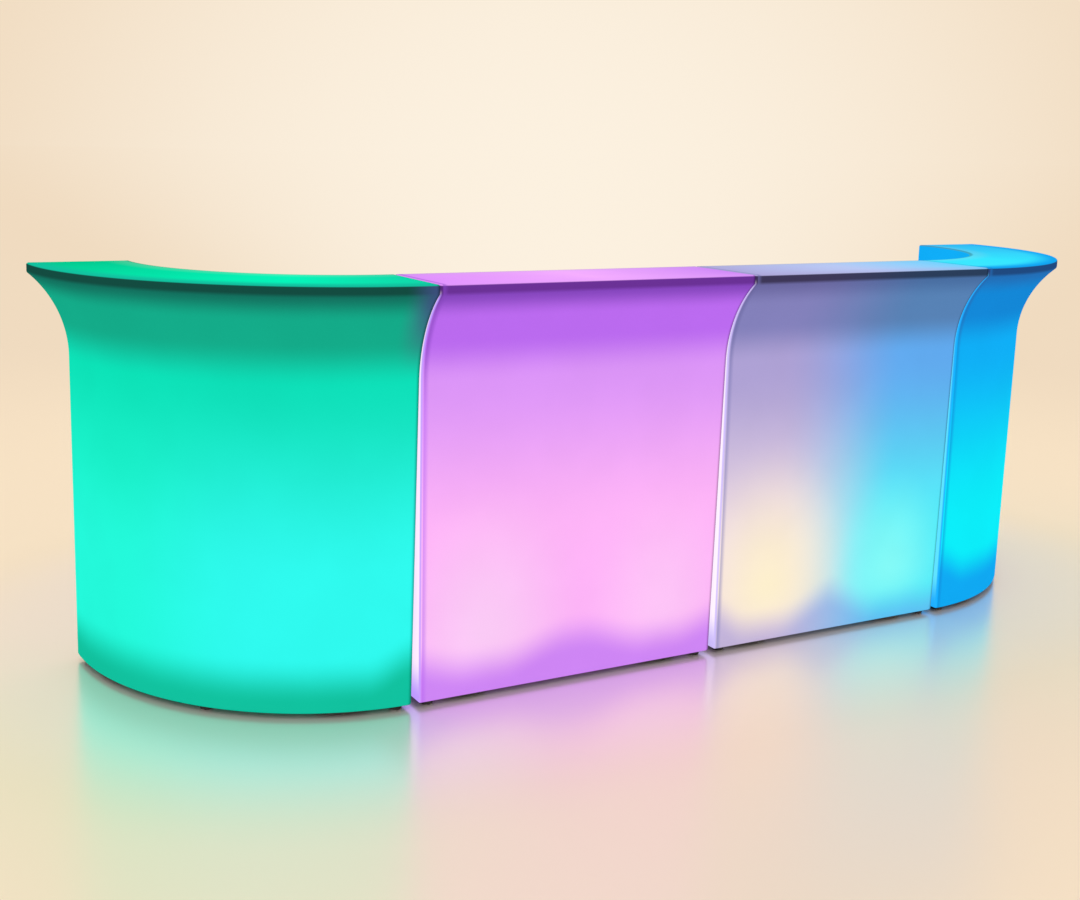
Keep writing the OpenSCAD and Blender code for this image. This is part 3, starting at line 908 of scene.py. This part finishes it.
def surfaceFinish(slot, grained=True):
    look = surfaces[slot]
    f = Finish(slot + ("" if grained else " bolt"), Metallic=look.get("metal", 0.0))
    colour = f.mix(f.noise(look["patch"], 4.0, 0.6).fade(*patchSpan),
                   fromScreen(*look["colour"]), fromScreen(*look["worn"]))
    if slot == "rubber_black":    # grey dust on the lowest few millimetres of the feet
        low = f.z.fade(0.0, dust["height"], dust["amount"], 0.0)
        dusty = low * f.noise(dust["patch"]).fade(*dust["span"])
        colour = f.mix(dusty, colour, fromScreen(*dust["colour"]))
    if slot == "board_white":    # the diodes' yellow windows stand above the board
        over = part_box("left_end_led_boards")[0][2] + diode["above"]
        window = f.z.fade(over, over + diode["soft"])
        colour = f.mix(window, colour, fromScreen(*diode["colour"]))
    f.set("Base Color", colour)
    rough, uneven = look["roughness"], look["uneven"]
    f.set("Roughness", f.noise(look["patch"] * 3, 2.0).fade(*noiseSpan, rough - uneven,
                                                            rough + uneven))
    if grained:
        grain = f.noise(look["grain"], 3.0, 0.6, look.get("stretch"))
        f.bump(grain, look["depth"], grainBumps)
    return f.material


finishes = {slot: surfaceFinish(slot) for slot in surfaces}
finishes["bolt"] = surfaceFinish("steel_zinc", grained=False)
print(len(finishes), "finishes for the smaller pieces")


# The smaller pieces. Each starts as a merged copy of the frame's own solid

nodeBody = {node: body for body, nodes in frame["record"]["behaviour"]["bodies"].items()
            for node in nodes}
nodeSlot = {part["node"]: part["material_slot"] for part in frame["record"]["subparts"]}

shelfBoard = {"rounding": 0.0015}
foot = {"rounding": 0.0010}
lampPlate = {"rounding": 0.0007}
battery = {"rounding": 0.0028}
controlPlate = {"rounding": 0.0005, "thickness": 0.003}
button = {"rounding": 0.0004, "rim": 0.0011, "dished": 0.0004}
socket = {"rounding": 0.0003}
flap = {"rounding": 0.0004, "rim": 0.0018, "sunk": 0.0005}
knob = {"rounding": 0.0013}
clampBolt = {"rounding": 0.0005}
plateScrew = {"rounding": 0.0006, "head": 0.0024, "inset": 0.005, "socketRadius": 0.0018,
              "socketDepth": 0.0013}
copied = {"flatBelow": 0.4, "roundingSteps": 3}


def copyOfNode(node):
    piece = startPiece(node + "_piece")
    bpy.ops.object.mode_set(mode="OBJECT")
    piece.data = frame["nodes"][node].data.copy()
    piece.data.name = piece.name
    piece.data.materials.clear()
    bpy.ops.object.mode_set(mode="EDIT")
    bpy.ops.mesh.select_all(action="SELECT")
    bpy.ops.mesh.remove_doubles(threshold=near["cut"])
    bpy.ops.mesh.dissolve_limited(angle_limit=math.radians(copied["flatBelow"]))
    return piece


def finishPiece(piece, node, choices, finish=None):
    deselectAll()
    softenEdges(piece, choices["rounding"], copied["roundingSteps"])
    even = piece.modifiers.new("even shading", "WEIGHTED_NORMAL")
    even.keep_sharp = True
    applyModifiers(piece)
    piece.data.materials.append(finish or finishes[nodeSlot[node]])
    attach(piece, nodeBody[node])
    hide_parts(node)


def pickEnd(piece, way):
    # the flat face that lies farthest along the row in that direction
    far = max(vert.co.x * way for vert in bmesh.from_edit_mesh(piece.data).verts)
    pickFaces(piece, lambda c, normal: normal.x * way > near["facing"]
              and abs(c.x * way - far) < near["merge"])


def sink(way, rim, depth):
    bpy.ops.mesh.inset(thickness=rim)
    bpy.ops.transform.translate(value=(-way * depth, 0, 0))


def screwSockets(screws):
    # a six sided recess in the head of each of the control plates' screws
    cutter = startPiece("screw_cutter")
    inset, deep = plateScrew["inset"], plateScrew["socketDepth"]
    for unit in units:
        way = facing(unit)
        low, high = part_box(unit + "_control_plate")
        joint = way * halfLength if "end" in unit else shellBox[unit][0][0]
        head = joint + way * (recess["cheek"] + recess["ledge"] + controlPlate["thickness"]
                              + plateScrew["head"])
        for y in (low[1] + inset, high[1] - inset):
            for z in (low[2] + inset, high[2] - inset):
                addRod(Vector((head + way * deep, y, z)), Vector((-way, 0, 0)), 2 * deep,
                       plateScrew["socketRadius"], 6)
    cutAway(screws, cutter)


for unit in units:
    way = facing(unit)
    for part, choices in (("shelf", shelfBoard), ("feet", foot), ("lamp_plates", lampPlate),
                          ("battery_packs", battery), ("control_plate", controlPlate),
                          ("charge_socket", socket)):
        node = unit + "_" + part
        finishPiece(copyOfNode(node), node, choices)
    piece = copyOfNode(unit + "_power_button")
    pickEnd(piece, way)
    sink(way, button["rim"], button["dished"])
    sink(way, 2 * button["rim"], button["dished"] / 2)
    finishPiece(piece, unit + "_power_button", button)
    piece = copyOfNode(unit + "_charge_flap")
    pickEnd(piece, way)
    sink(way, flap["rim"], flap["sunk"])
    finishPiece(piece, unit + "_charge_flap", flap)
    print(unit, "small pieces made")

for joint in ("left_joint", "middle_joint", "right_joint"):
    for level in ("lower", "upper"):
        node = joint + "_" + level + "_knob"
        finishPiece(copyOfNode(node), node, knob)
finishPiece(copyOfNode("clamp_bolts"), "clamp_bolts", clampBolt, finishes["bolt"])
piece = copyOfNode("plate_screws")
screwSockets(piece)
finishPiece(piece, "plate_screws", plateScrew)
print("knobs, bolts and screws made")

# The nodes that stay as they are: seals, boards, domes, wiring, lamp screws and foot screws
for node, piece in frame["nodes"].items():
    if nodeSlot[node] in finishes and not piece.hide_render:
        for holder in piece.material_slots:
            holder.material = finishes[nodeSlot[node]]


# Camera, light and floor

view = {
    "place": (-2.317, -3.2642, 1.4255),
    "turnedRight": 27.204,
    "lookingDown": 9.824,
    "tilt": 1.2165,
    "lens": 45.27,
    "sensor": 36,
    "shiftX": 0.0741,
    "shiftY": -0.0648,
}
studio = {
    "light": 1.0,
    "lightTint": (1.0, 0.985, 0.965, 1),
    "backdrop": fromScreen(255, 246, 231),
    "backdropEdge": fromScreen(240, 219, 192),
    "palest": (0.506448, 0.860143, -0.060531),   # the direction where the backdrop is palest
    "spread": (0.893, 1.042),                    # cosines where its edge and middle are reached
}
ground = {
    "size": 400,
    "colour": fromScreen(252, 232, 202),
    # painted light: the floor is paler near the counter, where its glow falls
    "paintedGlowColour": fromScreen(252, 238, 230),
    "nearReach": 0.55,       # from the counter's outline
    "gloss": 1.9,
    "roughness": 0.28,
    "coatGloss": 5.4,
    "coatRoughness": 0.22,
    "coatReach": 0.68,       # from the counter's outline
    "becomesBackdrop": (2.6, 6.5),
}

cameraData = bpy.data.cameras.new("camera")
cameraData.lens = view["lens"]
cameraData.sensor_width = view["sensor"]
cameraData.shift_x = view["shiftX"]
cameraData.shift_y = view["shiftY"]
cameraData.clip_end = 2 * ground["size"]
camera = bpy.data.objects.new("camera", cameraData)
bpy.context.scene.collection.objects.link(camera)
turn = (Matrix.Rotation(math.radians(-view["turnedRight"]), 4, "Z")
        @ Matrix.Rotation(math.radians(90 - view["lookingDown"]), 4, "X")
        @ Matrix.Rotation(math.radians(view["tilt"]), 4, "Z"))
camera.matrix_world = Matrix.Translation(view["place"]) @ turn
bpy.context.scene.camera = camera
bpy.context.scene.view_settings.view_transform = "Standard"


def backdropTint(nodes, direction):
    # palest behind the counter's middle and darker all round it
    towards = nodes.node("VectorMath", {0: direction, 1: studio["palest"]}, out="Value",
                         operation="DOT_PRODUCT")
    return nodes.mix(towards.fade(*studio["spread"]), studio["backdropEdge"],
                     studio["backdrop"])


world = bpy.data.worlds.new("studio")
bpy.context.scene.world = world
world.use_nodes = True
sky = Nodes(world.node_tree)
lit = sky.tree.nodes["Background"]
sky.plug(lit.inputs["Color"], studio["lightTint"])
sky.plug(lit.inputs["Strength"], studio["light"])
backdrop = sky.node("Background",
                    {"Color": backdropTint(sky, sky.node("TexCoord", out="Generated"))})
seen, mirrored, passed = (sky.node("LightPath", out="Is " + kind + " Ray")
                          for kind in ("Camera", "Glossy", "Transmission"))
plain = seen.most(mirrored).most(passed)
lighting = sky.node("MixShader", {0: plain, 1: Wire(sky, lit.outputs[0]), 2: backdrop})
sky.plug(sky.tree.nodes["World Output"].inputs["Surface"], lighting)

deselectAll()
bpy.ops.mesh.primitive_plane_add(size=ground["size"], location=(0, 0, 0))
floor = bpy.context.object
floor.name = "floor"
f = Finish("floor", Roughness=ground["roughness"], IOR=ground["gloss"],
           Coat_IOR=ground["coatGloss"], Coat_Roughness=ground["coatRoughness"])
beside = (f.x.unsigned() - halfLength).most(0.0)
ahead = curveY - f.y
gap = (beside * beside + ahead * ahead).root() - (outerRadius - section["overhang"])
# painted light from the counter's glow on the floor near it
f.set("Base Color", f.mix(gap.fade(0.0, ground["nearReach"]), ground["paintedGlowColour"],
                          ground["colour"]))
f.set("Coat Weight", gap.fade(0.0, ground["coatReach"], 1.0, 0.0))
away = (f.x * f.x + f.y * f.y).root()
outward = f.node("VectorMath", {0: f.place}, operation="NORMALIZE")
far = f.node("Emission", {"Color": backdropTint(f, outward)})
blend = f.node("MixShader", {0: away.fade(*ground["becomesBackdrop"]),
                             1: Wire(f, f.shader.outputs[0]), 2: far})
f.plug(f.tree.nodes["Material Output"].inputs["Surface"], blend)
floor.data.materials.append(f.material)
print("camera, light and floor set")
